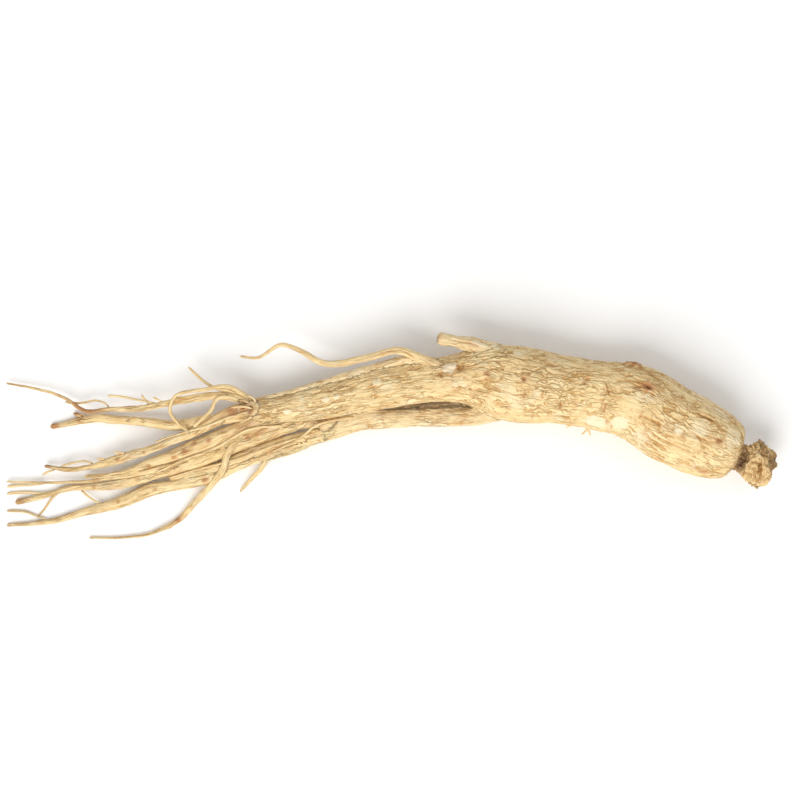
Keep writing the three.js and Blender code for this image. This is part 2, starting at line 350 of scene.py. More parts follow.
@dataclass(frozen=True)
class Mark:
    """One scar: where it is seen from above, how long along the limb, how wide round it, how strong.

    lean turns it, in degrees, away from the limb's own direction.
    """

    kind: MarkKind
    limb: str
    x: float
    y: float
    long: float
    wide: float
    strength: float = 1.0
    lean: float = 0.0
    below: bool = False

    def anchor(self, limb: Limb) -> tuple:
        """Where it sits on the limb, worked out from where it is seen.

        Args:
            limb: the limb that carries the scar.

        Returns:
            Its length along the limb and its turn from the top.
        """
        nearest = np.argmin((limb.place[:, 0] - self.x) ** 2 + (limb.place[:, 1] - self.y) ** 2)
        gap = np.array([self.x, self.y, 0]) - limb.place[nearest]
        side = gap[:2] @ limb.across[nearest][:2]
        turn = math.asin(float(np.clip(side / max(limb.girth[nearest], 0.3), -0.98, 0.98)))
        return limb.arc[nearest], (math.pi - turn) if self.below else turn

    def press(self, bark: Bark, limb: Limb, turn: np.ndarray, arc: np.ndarray, girth: np.ndarray) -> None:
        """Works the scar into the skin.

        u and v are the distances along and round the limb over the scar's own half sizes, strayed by
        noise so that no outline is regular; r is their length.

        Args:
            bark: the skin, changed in place.
            limb: the limb that carries the scar.
            turn, arc, girth: where each point is on that limb.
        """
        arc0, turn0 = self.anchor(limb)
        reach = 4 * max(self.long, self.wide)
        near = np.flatnonzero(np.abs(arc - arc0) < reach)
        if not len(near):
            return
        along = arc[near] - arc0
        swing = (turn[near] - turn0 + math.pi) % (2 * math.pi) - math.pi
        round_ = swing * girth[near]
        stray = 0.28 * NOISE.at(along / 1.3, round_ / 1.3, self.x)
        tilt = math.radians(self.lean)
        u = 2 * (along * math.cos(tilt) + round_ * math.sin(tilt)) / self.long + stray
        v = 2 * (round_ * math.cos(tilt) - along * math.sin(tilt)) / self.wide + stray
        r = np.sqrt(u**2 + v**2)
        body = np.exp(-r**2)
        full = smooth_step(1.35, 0.75, r)
        k = self.strength

        def add(name: str, value: np.ndarray) -> None:
            """Adds to one field of the skin at the scar's points."""
            getattr(bark, name)[near] += k * value

        if self.kind is MarkKind.LENTICEL:
            lips = np.exp(-((np.abs(u) - 0.55) / 0.3) ** 2) * np.exp(-v**4)
            slit = np.exp(-(u / 0.3) ** 2) * np.exp(-v**4)
            add("relief", 0.24 * lips - 0.3 * slit)
            add("crease", 0.7 * slit + 0.5 * np.exp(-((np.abs(u) - 1.1) / 0.25) ** 2) * np.exp(-v**4))
            add("stain", 0.42 * body)
        elif self.kind is MarkKind.KNOT:
            rays = 0.5 + 0.5 * np.cos(7 * np.arctan2(v, u) + 2 * r)
            add("relief", 0.42 * np.exp(-((r - 0.75) / 0.35) ** 2) - 0.55 * np.exp(-(r / 0.4) ** 2)
                - 0.16 * rays * np.exp(-((r - 1.5) / 0.6) ** 2))
            add("crease", 0.8 * rays * np.exp(-((r - 1.3) / 0.6) ** 2))
            add("stain", 1.1 * np.exp(-(r / 0.75) ** 2) + 0.3 * np.exp(-(r / 1.8) ** 2))
            add("dark", 0.7 * np.exp(-(r / 0.33) ** 2))
        elif self.kind is MarkKind.PATCH:
            bark.crease[near] *= 1 - k * full
            bark.relief[near] *= 1 - 0.75 * k * full
            add("calm", 0.8 * full)
            add("relief", -0.16 * full + 0.14 * np.exp(-((r - 1.15) / 0.16) ** 2))
            add("pale", full * (0.8 + 0.25 * NOISE.at(along / 3, round_ / 0.55, self.y)))
            add("stain", 0.4 * np.exp(-((r - 1.15) / 0.15) ** 2))
        elif self.kind is MarkKind.BLISTER:
            bark.crease[near] *= 1 - 0.7 * k * full
            add("calm", 0.8 * full)
            add("relief", 0.4 * np.exp(-r**2 * 1.2))
            add("pale", 0.9 * full)
            add("crease", 0.5 * np.exp(-((r - 1.35) / 0.2) ** 2))
        elif self.kind is MarkKind.FURROW:
            bar = np.exp(-(v / 0.55) ** 2) * smooth_step(1.0, 0.7, np.abs(u))
            lips = np.exp(-((np.abs(v) - 1.3) / 0.5) ** 2) * smooth_step(1.1, 0.6, np.abs(u))
            add("relief", -0.62 * bar + 0.16 * lips)
            add("crease", 1.1 * bar)
            add("stain", 0.4 * bar + 0.15 * lips)
            add("dark", 0.28 * bar)
        elif self.kind is MarkKind.FLUSH:
            add("stain", body)
        elif self.kind is MarkKind.CLEFT:
            bar = np.exp(-(v / 0.8) ** 2) * smooth_step(1.15, 0.65, np.abs(u))
            add("relief", -1.1 * bar)
            # painted shade: the near-black at the bottom of the hollow, between limbs and round the crown's
            # neck
            add("dark", 0.85 * bar)
            add("stain", 0.5 * np.exp(-(v / 1.4) ** 2) * smooth_step(1.3, 0.7, np.abs(u)))
        elif self.kind is MarkKind.SPECK:
            add("stain", 1.2 * body)
            add("dark", 0.3 * np.exp(-(r / 0.6) ** 2))
            add("relief", 0.12 * body)
        elif self.kind is MarkKind.OLIVE:
            add("olive", full)


TRUNK_RADIUS = 11.0
CROWN_RADIUS = 6.0
LEG_RADIUS = 3.0
TAIL_RADIUS = 2.0


def stout_limbs() -> list:
    """The limbs that melt into one body: trunk, crown and legs."""
    return [
        Limb("trunk", Growth.TRUNK, TRUNK_RADIUS, (
            (99, -5, 9), (96.8, -4, 9), (90.5, -1, 9.2), (79, 4.5, 9.7), (69, 10.5, 9.5), (59, 12.5, 8.6),
            (48, 14, 8.6), (36.5, 15.5, 9.6), (28.5, 17, 9.6), (21.5, 17.5, 9.6), (14.5, 17, 9.6),
            (6, 16, 9.3), (-2.5, 14.5, 9), (-11, 12.5, 8.6), (-19.5, 10.5, 8.2), (-27.5, 9.2, 7.8),
            (-35.5, 8.3, 7.4), (-40.5, 8.2, 7.2),
        ), (0.33, 0.68, 0.93, 1, 0.97, 0.88, 0.88, 0.99, 0.88, 0.68, 0.58, 0.55, 0.53, 0.48, 0.45, 0.4,
            0.32, 0.2)),
        Limb("crown", Growth.CROWN, CROWN_RADIUS, (
            (96, -3.7, 9), (99, -5.3, 9.1), (102.3, -6.4, 9.4), (105.2, -6.5, 9.7), (108.4, -5.6, 9.9),
        ), (0.68, 0.78, 0.97, 1, 0.76), fillet=0.3),
        Limb("crown_flap", Growth.CROWN, CROWN_RADIUS, (
            (101, -5, 9.5), (101.8, -9, 9.6), (102.6, -11.6, 9.2), (103.2, -13.6, 8.6),
        ), (0.5, 0.46, 0.34, 0.16), fillet=1.0),
        Limb("crown_lobe", Growth.CROWN, CROWN_RADIUS, (
            (100, -6, 10), (102, -3.4, 11.5), (104, -1.6, 11),
        ), (0.4, 0.45, 0.3), fillet=1.0),
        Limb("lower_leg", Growth.LEG, LEG_RADIUS, (
            (39.5, 12.5, 7.6), (32.5, 9, 6.8), (26, 7, 6), (17, 6.5, 5.4), (8.5, 6.5, 5), (0.5, 6, 4.8),
            (-8, 5.5, 4.6), (-14.5, 3.5, 4.3), (-21, 0.5, 4), (-27.5, -2.5, 3.6), (-35.5, -5.5, 3),
        ), (1, 0.97, 0.9, 0.93, 0.9, 0.97, 1, 1, 0.67, 0.53, 0.33), fillet=1.6, wander=0.15),
        Limb("broken_leg", Growth.LEG, LEG_RADIUS, (
            (-9, 5.2, 4.6), (-14.5, 4.7, 5.0), (-20, 3.8, 5.7),
        ), (0.45, 0.66, 0.62), fillet=0.6),
        Limb("side_leg", Growth.LEG, LEG_RADIUS, (
            (19, 19.5, 11.6), (11, 21.8, 11.8), (4, 22, 11.4), (-2.5, 20.5, 10.8), (-11, 18, 10.2),
            (-22, 14.5, 9.4), (-32, 12, 8.6), (-38.5, 10.5, 8),
        ), (0.5, 0.52, 0.5, 0.48, 0.45, 0.42, 0.38, 0.33), fillet=0.8, wander=0.15),
        Limb("broken_branch", Growth.LEG, LEG_RADIUS, (
            (31, 23.2, 11.5), (24, 26.5, 12.3), (18.5, 27.5, 12.6), (13, 28.5, 12.8),
        ), (1.0, 0.74, 0.6, 0.7), fillet=2.2, wander=0.1),
        Limb("web", Growth.LEG, LEG_RADIUS, (
            (31, 12, 7.2), (22, 11.2, 6.6), (12, 10.2, 6.0), (2, 9.6, 5.6), (-7, 8.6, 5.2),
        ), (0.55, 0.56, 0.5, 0.45, 0.35), fillet=0.35),
        Limb("node", Growth.LEG, LEG_RADIUS, (
            (-35.4, 8.8, 8.4), (-38.6, 8.7, 9.0), (-42.6, 8.3, 8.0),
        ), (0.5, 0.72, 0.36), fillet=1.2),
    ]


def tail_limbs() -> list:
    """The tail rootlets and side rootlets, each turned on its own centre line."""
    routes = {
        "first_tail": (
            ((-32, 8.5, 7.4), (-43, 8, 6.8), (-48.5, 5.5, 6.4), (-54.5, 2.5, 6), (-61.5, -0.5, 5.5),
             (-68.5, -3, 5), (-76.5, -5.5, 4.3), (-84, -7.5, 3.5), (-91, -8.5, 2.6), (-98, -7.5, 1.8)),
            (0.9, 0.95, 0.85, 0.75, 0.6, 0.6, 0.75, 0.43, 0.35, 0.25)),
        "broad_tail": (
            ((-26, 7.5, 7), (-37.5, 4.5, 6.4), (-44.5, 2, 6), (-51.5, -1, 5.6), (-57.5, -3.3, 5.2),
             (-62.5, -5, 4.8), (-69.5, -7.5, 4.2), (-76, -9.6, 3.4), (-86.5, -10.6, 2.4)),
            (0.9, 1.05, 1.15, 1.15, 1, 0.8, 0.6, 0.45, 0.3)),
        "long_tail": (
            ((-27, 5.4, 6.6), (-33.5, 3.6, 6.4), (-40.5, 0.8, 6), (-47.5, -1.5, 5.6), (-54.5, -4, 5.1),
             (-62, -7.6, 4.5), (-67, -8.7, 4), (-73, -10, 3.4), (-79, -11, 2.9), (-85, -11.8, 2.4),
             (-93.5, -12.3, 1.8), (-109, -12, 1)),
            (0.55, 0.6, 0.6, 0.58, 0.55, 0.5, 0.45, 0.35, 0.28, 0.22, 0.2, 0.15)),
        "blunt_tail": (
            ((-22, 5.5, 6), (-31.5, 2.5, 5.4), (-41.5, -1, 4.8), (-51.5, -5, 4.2), (-60, -8, 3.6),
             (-67, -10, 3), (-73.5, -12, 2.5), (-78.5, -13, 2), (-85.5, -13.5, 1.5), (-92, -14, 1.1),
             (-96.5, -15.5, 0.9), (-106.5, -18, 0.7)),
            (0.8, 0.9, 1, 1.05, 0.95, 0.8, 0.75, 0.72, 0.48, 0.45, 0.38, 0.4)),
        "lowest_tail": (
            ((-17, 1.8, 4.6), (-27.5, -1.5, 4), (-36, -4, 3.6), (-44.5, -7.5, 3.2), (-52.5, -11, 2.8),
             (-61.5, -13, 2.4), (-68, -14.5, 2), (-76.5, -18, 1.6), (-84, -20, 1.2), (-91, -22, 0.9),
             (-97, -23.5, 0.7), (-109, -24.5, 0.5)),
            (0.85, 0.9, 1, 1.1, 1, 0.8, 0.9, 0.85, 0.62, 0.45, 0.4, 0.22)),
        "filler_tail": (
            ((-14, 3, 5), (-25, 0.5, 4.8), (-33.5, -2, 4.4), (-41.5, -5, 4), (-48.5, -8, 3.6),
             (-55.5, -9.5, 3.2), (-62.5, -11, 3)),
            (0.7, 0.8, 0.85, 0.85, 0.8, 0.7, 0.5)),
        "inner_tail": (
            ((-11, 4.4, 4.8), (-18, 4.5, 5.2), (-24, 4.7, 5.8), (-32, 3.4, 5.6), (-42, 0.4, 5)),
            (0.5, 0.6, 0.75, 0.7, 0.5)),
        "bowed_rootlet": (
            ((-37, 2, 5.4), (-43, -1, 5.8), (-45.5, -4, 5.8), (-47, -8.5, 5), (-50.5, -13, 3.6),
             (-56, -19, 2), (-59.5, -22.5, 1.4), (-67, -26.5, 0.9), (-75, -28, 0.6), (-85.5, -28, 0.4)),
            (0.5, 0.6, 0.55, 0.55, 0.5, 0.48, 0.42, 0.25, 0.18, 0.15)),
        "flat_rootlet": (
            ((-34, 8, 7.4), (-46, 6, 6.4), (-53, 5, 5.4), (-61, 4, 4.2), (-69.5, 5, 3), (-76.5, 5.5, 2),
             (-84, 6, 1.2), (-92, 4.5, 0.8), (-96.5, 3.5, 0.6)),
            (0.8, 0.9, 0.9, 0.75, 0.65, 0.6, 0.65, 0.4, 0.35)),
        "flat_fork": (
            ((-85, 6, 1.1), (-87.5, 6.6, 1), (-90, 7.5, 0.8)), (0.3, 0.3, 0.25)),
        "upper_rootlet": (
            ((-35, 9, 8), (-44, 12, 8), (-48.5, 12.5, 7.8), (-59, 11, 7), (-68, 9, 6), (-78.5, 8.5, 4.8),
             (-86, 8, 3.8), (-91.5, 11.5, 3), (-98.5, 14, 2.2), (-109, 16, 1.6)),
            (0.55, 0.6, 0.6, 0.55, 0.45, 0.35, 0.3, 0.25, 0.2, 0.15)),
    }
    return [Limb(name, Growth.TAIL, TAIL_RADIUS, route, girths, wander=0.18)
            for name, (route, girths) in routes.items()]


def thread_limbs() -> list:
    """The thread-like rootlets that the frame's solid has too."""
    routes = {
        "wavy_thread": (
            ((18, 19, 12.5), (8.5, 23, 13.2), (3, 25, 13), (-6.5, 23, 12.4), (-13.5, 21.5, 12),
             (-18, 21.5, 11.6), (-26, 25.5, 11), (-30.5, 26.5, 10.4), (-36.5, 23, 9.2), (-42, 23.5, 8)),
            (0.6, 0.65, 0.55, 0.5, 0.5, 0.45, 0.35, 0.3, 0.22, 0.18)),
        "arched_thread": (
            ((-36, 9, 7.8), (-41.5, 13.5, 9), (-45.5, 15, 9.8), (-50, 14.5, 10), (-55.5, 13.5, 9.6),
             (-60, 12, 9.2), (-61.5, 8, 8.6), (-58, 3.5, 7.6), (-55.5, 2, 6.8)),
            (0.35, 0.32, 0.3, 0.3, 0.28, 0.25, 0.25, 0.22, 0.2)),
        "stray_thread": (
            ((-36, 9, 7.6), (-44, 13.5, 8.2), (-48, 14.5, 8.2), (-52, 16.5, 8), (-56.5, 20.5, 7.6)),
            (0.3, 0.28, 0.25, 0.22, 0.18)),
        "hooked_thread": (
            ((-37, 8.5, 7.8), (-44.5, 12, 8.8), (-48.5, 11.5, 9), (-50, 8.5, 8.8), (-55, 3.5, 7.4)),
            (0.35, 0.32, 0.3, 0.28, 0.22)),
        "low_thread": (
            ((-33, -2, 4), (-36.5, -8.5, 2.6), (-38.5, -10.5, 2), (-42.5, -15, 1)), (0.5, 0.38, 0.3, 0.2)),
    }
    return [Limb(name, Growth.THREAD, TAIL_RADIUS, route, girths, wander=0.25)
            for name, (route, girths) in routes.items()]


def grain_of(limb: Limb, turn: np.ndarray, arc: np.ndarray, girth: np.ndarray) -> np.ndarray:
    """The limb's own space, in which the skin's fine lines are drawn.

    It is the limb unrolled onto an even cylinder: (R cos t, R sin t, s), where R lies between the girth
    here and the limb's mean girth, so that lines draw together where the limb narrows.

    Args:
        limb: the limb.
        turn, arc, girth: where each point is on it.

    Returns:
        One place a point.
    """
    even = np.sqrt(np.maximum(girth, 0.15) * float(np.mean(limb.girth)))
    w = WRINKLING[limb.growth]
    return np.stack([np.cos(turn) * even * w.fineness, np.sin(turn) * even * w.fineness,
                     arc * w.shorter + 17.3 * limb.seed], axis=1)


def wrinkled(limb: Limb, turn: np.ndarray, arc: np.ndarray, girth: np.ndarray) -> Bark:
    """The dried skin of a limb before its scars.

    Noise is read in the limb's own space, round it by its girth and along it by its length, so creases
    run lengthwise. A crease is where the noise crosses zero, which leaves round ridges and narrow
    valleys; a slower noise sways the creases, and another makes them strong in one place and faint in
    the next.

    Args:
        limb: the limb.
        turn, arc, girth: where each point is on it.

    Returns:
        The skin there.
    """
    w = WRINKLING[limb.growth]
    spin = limb.seed
    z = arc + 11.3 * spin
    even = np.sqrt(np.maximum(girth, 0.15) * float(np.mean(limb.girth)))
    x, y = np.cos(turn) * even, np.sin(turn) * even
    sway = w.sway * (NOISE.at(x / 2.3 + spin, y / 2.3, z / 2.6)
                     + 2.0 * NOISE.at(x / 6.5 + spin, y / 6.5, z / 10 + 4))
    bent = turn + sway / np.maximum(even, 0.8)
    ux, uy = np.cos(bent) * even / w.spacing, np.sin(bent) * even / w.spacing
    main = NOISE.at(ux + spin, uy, z / w.run)
    fine = NOISE.at(1.8 * ux, 1.8 * uy + spin, 1.5 * z / w.run + 31)
    long_fold = NOISE.at(ux / 2.6, uy / 2.6 + spin, z / (2.6 * w.run) + 57)
    where = smooth_step(-0.6, 0.4, NOISE.at(x / 8 + 9, y / 8, z / 12 + spin))
    strong = 0.55 + 0.45 * where
    valley = np.clip(1 - np.abs(main) / 0.34, 0, 1) ** 1.4
    nick = np.clip(1 - np.abs(fine) / 0.34, 0, 1) ** 1.4
    furrow = np.clip(1 - np.abs(long_fold) / 0.07, 0, 1) ** 1.3
    slow = NOISE.at(x / w.lump_size, y / w.lump_size + spin, z / w.lump_size)
    slower = NOISE.at(x / (2.3 * w.lump_size), y / (2.3 * w.lump_size) + spin, z / (3 * w.lump_size) + 3)
    bumps = np.maximum(0, NOISE.at(x / 1.3 + 5, y / 1.3, z / 2.1 + spin) - 0.32)
    slim = np.clip(girth / 1.2, 0.15, 1)
    bark = Bark.plain(len(arc))
    bark.relief = slim * (
        w.lumps * (0.6 * slow + 0.7 * slower) - w.depth * strong * (valley + 0.4 * nick)
        - w.folds * furrow * where + w.nodules * 1.6 * bumps)
    bark.crease = np.clip(strong * (0.46 * valley + 0.25 * nick) + 0.75 * furrow * where, 0, 1.2)
    bark.stain = 0.34 * smooth_step(0.35, 0.7, NOISE.at(x / 3.1, y / 3.1 + 2 * spin, z / 4.2))
    bark.stain += w.nodules * (2.8 * bumps + 0.5)
    bark.calm += w.calm
    bark.pale = 0.35 * smooth_step(0.2, 0.65, NOISE.at(x / 5 + spin, y / 5, z / 6 + 77))
    if limb.growth is Growth.LEG:
        bark.pale += 0.25
        bark.stain *= 0.55
    if limb.growth is Growth.CROWN:
        flake = smooth_step(0.0, 0.4, np.abs(NOISE.at(x / 3.4 + sway / 2, y / 3.4, (z + sway) / 1.25 + spin)))
        bark.relief += 0.95 * flake - 0.5
        bark.crease = np.clip(0.15 + 0.5 * bark.crease + 0.6 * (1 - flake), 0, 1.4)
        bark.stain = 0.2 + 0.5 * bark.stain
        bark.dark += 0.3 * (1 - flake)
    return bark


def hair_limbs() -> list:
    """The finest hairs, stubs and curls, finer than the frame's solid holds."""
    routes = {
        "hair_1": ((-78, -3.6, 5), (-76, -3.7, 5.3), (-73.9, -4.2, 5.2)),
        "hair_2": ((-82.8, -5.6, 3.9), (-81, -5.4, 4.4), (-79.3, -6.2, 4.2)),
        "hair_3": ((-93.2, -7.8, 2.9), (-90.4, -6.8, 3.4), (-86.4, -6.1, 3.6), (-83.4, -7, 3.5)),
        "hair_4": ((-98.6, -10.2, 2.4), (-96.8, -9.2, 2.6), (-94.6, -8.5, 2.4)),
        "hair_5": ((-87.8, -14.0, 1.6), (-86.1, -15.7, 1.5), (-82.9, -17.8, 1.7), (-80.5, -18.6, 1.8)),
        "hair_6": ((-94, -15, 1.0), (-96, -16.8, 0.6), (-98.3, -20.2, 0.5), (-100.3, -22.1, 0.4)),
        "hair_7": ((-109, -13.6, 0.5), (-105, -13.1, 0.6), (-101.8, -13, 0.9), (-98, -12.6, 1.4)),
        "hair_8": ((-109, -15.5, 0.4), (-103, -15.1, 0.5), (-99, -15.3, 0.8), (-95.5, -14.9, 1.0)),
        "hair_9": ((-109, -20.4, 0.3), (-103.6, -20.7, 0.4), (-100.7, -21.8, 0.5), (-96.5, -23.2, 0.7)),
        "hair_10": (
            (-79.6, 12.5, 4.6), (-75, 12, 5.2), (-71, 11.3, 5.8), (-67.5, 10.7, 6.2), (-64.8, 10, 6.4)),
        "hair_11": ((-69.8, 12.9, 6.4), (-69.2, 11.8, 6.3), (-68, 10.4, 6.1), (-67.6, 9.4, 6)),
        "hair_12": ((-66.6, 12, 6.6), (-65.4, 11.5, 6.7), (-63.4, 10.5, 6.6)),
        "hair_13": ((-75, 4.6, 2.6), (-73, 5.9, 3.6), (-70.7, 5.6, 4.2), (-68.6, 4.9, 4)),
        "hair_14": (
            (-92, 10.6, 2.9), (-87.5, 10.3, 3.2), (-83.2, 11.1, 3.8), (-80.4, 10.4, 4.4), (-79, 9, 4.8)),
        "hair_15": ((-60, 8.6, 5.8), (-57.4, 8.1, 6.4), (-55, 8.2, 6.9), (-50, 10.6, 7.4)),
        "stub_1": ((57, 5, 4.6), (56, 2.8, 3.8), (54.4, 1.2, 3.4)),
        "stub_2": ((57, 5, 4.2), (56.6, 2.6, 3.4), (57.2, 0.8, 3.0)),
        "stub_3": ((61, 5, 4.8), (60.9, 3.4, 4.0), (60.0, 2.1, 3.6)),
        "stub_4": ((65, 4.6, 4.8), (64.9, 2.6, 4.0), (64.2, 0.7, 3.6)),
        "stub_5": ((65.6, 4.6, 4.4), (66, 2.2, 3.8), (66.6, 0.4, 3.2)),
        "stub_6": ((52, 6, 4.2), (51.4, 4.2, 3.6), (50.0, 3.2, 3.2)),
        "fibre_1": ((-37.6, 9.4, 9.8), (-40, 10.8, 9.8), (-42.8, 11.2, 8.9)),
        "fibre_2": ((-38, 8.8, 10.4), (-41, 9.4, 10.6), (-44.4, 9.0, 9.4)),
        "fibre_3": ((-38.4, 8, 10.4), (-41.4, 7.4, 10.2), (-43.6, 6.2, 9.2)),
        "fibre_4": ((-37.8, 7.2, 9.8), (-39.6, 5.8, 9.8), (-42, 4.8, 8.8)),
        "fibre_5": ((-37, 9.8, 9.6), (-38, 11.8, 9.8), (-40.4, 12.6, 9.2)),
        "fibre_6": ((-38.6, 8.4, 10.8), (-40.4, 8.8, 11.4), (-42.6, 8.0, 10.8)),
        "over_leg": ((-10, 6.4, 7.2), (-19.7, 4.3, 8.2), (-24, 1.2, 7.4), (-27.5, -1, 6.9), (-33, -3.4, 5.6)),
        "over_tails_1": ((-36, 7.5, 9), (-44, 6.4, 9), (-52, 3.6, 8), (-60, 1.4, 6.6), (-66, -0.6, 6.2)),
        "over_tails_2": ((-30, 4, 8), (-40, 2.6, 8.4), (-49, -2.4, 7.6), (-57, -5.4, 6.6), (-66, -9.4, 4.8)),
        "over_tails_3": (
            (-22, 1.4, 7), (-33, -1.8, 6.6), (-43, -5.6, 5.8), (-53, -8.2, 5.3), (-62, -10.8, 4.3)),
    }
    return [Limb(name, Growth.THREAD, TAIL_RADIUS, route, tuple(np.linspace(0.19, 0.12, len(route))),
                 wander=0.2)
            for name, route in routes.items()]


